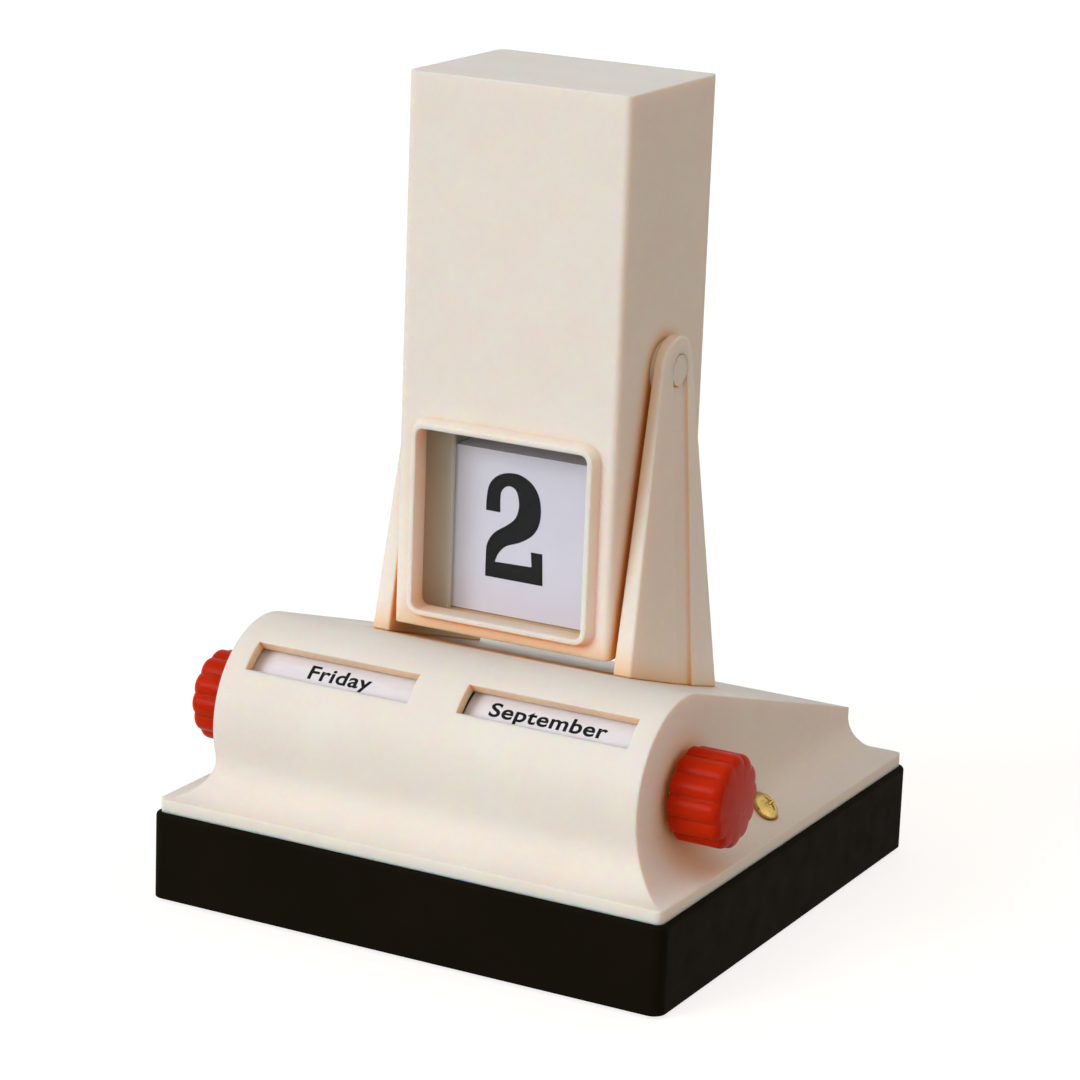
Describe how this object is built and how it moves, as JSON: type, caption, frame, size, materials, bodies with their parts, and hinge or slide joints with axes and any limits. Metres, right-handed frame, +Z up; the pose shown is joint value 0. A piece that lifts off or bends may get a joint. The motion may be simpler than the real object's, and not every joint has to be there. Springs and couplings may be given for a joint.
{
  "type": "perpetual desk calendar",
  "caption": "Perpetual desk calendar: a flip-over tower of date cards between two posts, above a console with weekday and month drums turned by side knobs.",
  "frame": {"origin": "centre of the base, in the plane of the feet's undersides", "axes": "+X to the right as the date is read, +Y to the back, +Z up"},
  "size_m": [0.1148, 0.11, 0.16],
  "materials": {
    "cream_plastic": "cream moulded plastic, satin gloss",
    "black_plastic": "black moulded plastic, satin",
    "red_plastic": "polished red plastic, slightly translucent",
    "clear_plastic": "clear acrylic sheet",
    "grey_plastic": "grey-green moulded plastic",
    "nylon": "natural white nylon",
    "card_plastic": "white plastic card with black printed figures",
    "printed_paper": "white printed band with dark grey names",
    "brass": "polished brass",
    "steel": "zinc-plated steel",
    "rubber": "black rubber"
  },
  "bodies": {
    "base": {"plinth": "black_plastic", "bottom_plate": "black_plastic", "base_screws": "steel", "rubber_feet": "rubber", "console_cover": "cream_plastic", "side_screws": "brass", "left_post": "cream_plastic", "right_post": "cream_plastic", "post_screws": "steel", "left_bush": "nylon", "right_bush": "nylon", "drum_bracket": "nylon", "bracket_screws": "steel"},
    "weekday_drum": {"weekday_drum": "nylon", "weekday_band": "printed_paper", "weekday_shaft": "steel", "weekday_knob": "red_plastic"},
    "month_drum": {"month_drum": "nylon", "month_band": "printed_paper", "month_shaft": "steel", "month_knob": "red_plastic"},
    "tower": {"tower_shell": "cream_plastic", "tower_back": "cream_plastic", "front_pane": "clear_plastic", "rear_pane": "clear_plastic", "left_rail": "grey_plastic", "right_rail": "grey_plastic", "left_pivot": "cream_plastic", "right_pivot": "cream_plastic", "left_washer": "nylon", "right_washer": "nylon"},
    "date_cards": {"front_card": "card_plastic", "middle_cards": "card_plastic", "rear_card": "card_plastic"}
  },
  "joints": [
    {"name": "weekday_turn", "type": "hinge", "parent": "base", "child": "weekday_drum", "pos_m": [0, -0.0303, 0.0351], "axis": [1, 0, 0], "continuous": true},
    {"name": "month_turn", "type": "hinge", "parent": "base", "child": "month_drum", "pos_m": [0, -0.0303, 0.0351], "axis": [1, 0, 0], "continuous": true},
    {"name": "tower_flip", "type": "hinge", "parent": "base", "child": "tower", "pos_m": [0, -0.0015, 0.1065], "axis": [1, 0, 0], "continuous": true},
    {"name": "cards_slide", "type": "slide", "parent": "tower", "child": "date_cards", "axis": [0, 0, 1], "range_m": [0, 0.0698]}
  ]
}
